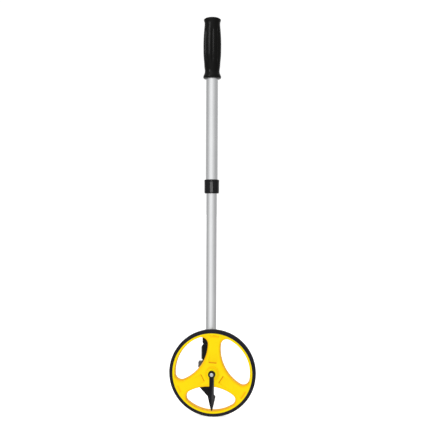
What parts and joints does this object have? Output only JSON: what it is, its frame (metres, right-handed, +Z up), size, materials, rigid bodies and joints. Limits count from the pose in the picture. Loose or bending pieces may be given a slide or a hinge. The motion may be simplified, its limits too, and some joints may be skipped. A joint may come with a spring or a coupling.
{
  "type": "measuring wheel",
  "caption": "Hand-held measuring wheel: three-spoke tyred wheel, plumb pointer, geared drum counter and a telescopic tube with twist-lock collar and grip.",
  "frame": {"origin": "on the ground under the axle, halfway through the whole depth", "axes": "+Z up along the tube, +X the way the wheel rolls, +Y from the pointer's side toward the counter housing"},
  "size_m": [0.1592, 0.0618, 0.7358],
  "materials": {
    "yellow_abs": "bright yellow moulded ABS, semi-gloss",
    "tyre_rubber": "black moulded rubber",
    "grip_rubber": "black rubber with a soft sheen",
    "black_abs": "black moulded ABS, satin",
    "grey_abs": "dark grey moulded ABS",
    "clear_pc": "clear polycarbonate",
    "white_pom": "white acetal",
    "tube_aluminium": "satin anodised aluminium",
    "zinc_steel": "bright zinc-plated steel",
    "spring_steel": "drawn spring steel"
  },
  "bodies": {
    "handle": {"hand_grip": "grip_rubber", "upper_tube": "tube_aluminium", "collet_ring": "white_pom"},
    "collar": {"lock_collar": "black_abs"},
    "slider": {"guide_ring": "white_pom"},
    "frame": {"lower_tube": "tube_aluminium", "tube_plug": "black_abs", "tube_screw": "zinc_steel", "front_shell": "black_abs", "rear_shell": "black_abs", "shell_screw_1": "zinc_steel", "shell_screw_2": "zinc_steel", "shell_screw_3": "zinc_steel", "shell_screw_4": "zinc_steel", "counter_frame": "grey_abs", "drum_shaft": "zinc_steel", "pinion_shaft": "zinc_steel", "idler_pin": "zinc_steel", "display_bezel": "grey_abs", "display_window": "clear_pc", "lever_pivot_pin": "zinc_steel", "lever_spring": "spring_steel", "axle": "zinc_steel", "axle_nut": "zinc_steel", "pointer_screw": "zinc_steel", "pointer_washer": "zinc_steel"},
    "wheel": {"road_wheel": "yellow_abs", "tyre": "tyre_rubber", "front_bush": "white_pom", "rear_bush": "white_pom", "hub_gear": "white_pom"},
    "plumb_pointer": {"pointer": "black_abs"},
    "idler": {"idler_gear": "white_pom"},
    "drum_1": {"number_drum_1": "white_pom", "counter_gear": "white_pom"},
    "drum_2": {"number_drum_2": "white_pom"},
    "drum_3": {"number_drum_3": "white_pom"},
    "drum_4": {"number_drum_4": "white_pom"},
    "drum_5": {"number_drum_5": "white_pom"},
    "pinion_1": {"carry_pinion_1": "zinc_steel"},
    "pinion_2": {"carry_pinion_2": "zinc_steel"},
    "pinion_3": {"carry_pinion_3": "zinc_steel"},
    "pinion_4": {"carry_pinion_4": "zinc_steel"},
    "lever": {"reset_lever": "black_abs"}
  },
  "joints": [
    {"name": "tube_slide", "type": "slide", "parent": "handle", "child": "slider", "axis": [0, 0, 1], "range_m": [0, 0.24]},
    {"name": "tube_swivel", "type": "hinge", "parent": "slider", "child": "frame", "pos_m": [-0.00525, 0.01325, 0.4], "axis": [0, 0, 1], "continuous": true},
    {"name": "collar_twist", "type": "hinge", "parent": "handle", "child": "collar", "pos_m": [-0.00525, 0.01325, 0.4], "axis": [0, 0, 1], "range_deg": [0, 90]},
    {"name": "wheel_spin", "type": "hinge", "parent": "frame", "child": "wheel", "pos_m": [0, -0.01295, 0.07958], "axis": [0, 1, 0], "continuous": true},
    {"name": "pointer_swing", "type": "hinge", "parent": "frame", "child": "plumb_pointer", "pos_m": [0, -0.01295, 0.07958], "axis": [0, 1, 0], "continuous": true},
    {"name": "idler_spin", "type": "hinge", "parent": "frame", "child": "idler", "pos_m": [-0.00374, -0.01295, 0.09317], "axis": [0, 1, 0], "continuous": true},
    {"name": "drum_1_spin", "type": "hinge", "parent": "frame", "child": "drum_1", "pos_m": [-0.0086, -0.01295, 0.11082], "axis": [0, 1, 0], "continuous": true},
    {"name": "drum_2_spin", "type": "hinge", "parent": "frame", "child": "drum_2", "pos_m": [-0.0086, -0.01295, 0.11082], "axis": [0, 1, 0], "continuous": true},
    {"name": "drum_3_spin", "type": "hinge", "parent": "frame", "child": "drum_3", "pos_m": [-0.0086, -0.01295, 0.11082], "axis": [0, 1, 0], "continuous": true},
    {"name": "drum_4_spin", "type": "hinge", "parent": "frame", "child": "drum_4", "pos_m": [-0.0086, -0.01295, 0.11082], "axis": [0, 1, 0], "continuous": true},
    {"name": "drum_5_spin", "type": "hinge", "parent": "frame", "child": "drum_5", "pos_m": [-0.0086, -0.01295, 0.11082], "axis": [0, 1, 0], "continuous": true},
    {"name": "pinion_1_spin", "type": "hinge", "parent": "frame", "child": "pinion_1", "pos_m": [0.0019, -0.01295, 0.11082], "axis": [0, 1, 0], "continuous": true},
    {"name": "pinion_2_spin", "type": "hinge", "parent": "frame", "child": "pinion_2", "pos_m": [0.0019, -0.01295, 0.11082], "axis": [0, 1, 0], "continuous": true},
    {"name": "pinion_3_spin", "type": "hinge", "parent": "frame", "child": "pinion_3", "pos_m": [0.0019, -0.01295, 0.11082], "axis": [0, 1, 0], "continuous": true},
    {"name": "pinion_4_spin", "type": "hinge", "parent": "frame", "child": "pinion_4", "pos_m": [0.0019, -0.01295, 0.11082], "axis": [0, 1, 0], "continuous": true},
    {"name": "lever_press", "type": "hinge", "parent": "frame", "child": "lever", "pos_m": [-0.0135, -0.01295, 0.08918], "axis": [0, -1, 0], "range_deg": [0, 15], "stiffness_Nm_per_rad": 0.05}
  ],
  "couplings": [
    {"joint": "idler_spin", "follows": "wheel_spin", "ratio": -0.42424},
    {"joint": "drum_1_spin", "follows": "wheel_spin", "ratio": 0.5},
    {"joint": "drum_2_spin", "follows": "wheel_spin", "ratio": 0.05},
    {"joint": "drum_3_spin", "follows": "wheel_spin", "ratio": 0.005},
    {"joint": "drum_4_spin", "follows": "wheel_spin", "ratio": 0.0005},
    {"joint": "drum_5_spin", "follows": "wheel_spin", "ratio": 0.00005},
    {"joint": "pinion_1_spin", "follows": "wheel_spin", "ratio": -0.125},
    {"joint": "pinion_2_spin", "follows": "wheel_spin", "ratio": -0.0125},
    {"joint": "pinion_3_spin", "follows": "wheel_spin", "ratio": -0.00125},
    {"joint": "pinion_4_spin", "follows": "wheel_spin", "ratio": -0.000125}
  ]
}
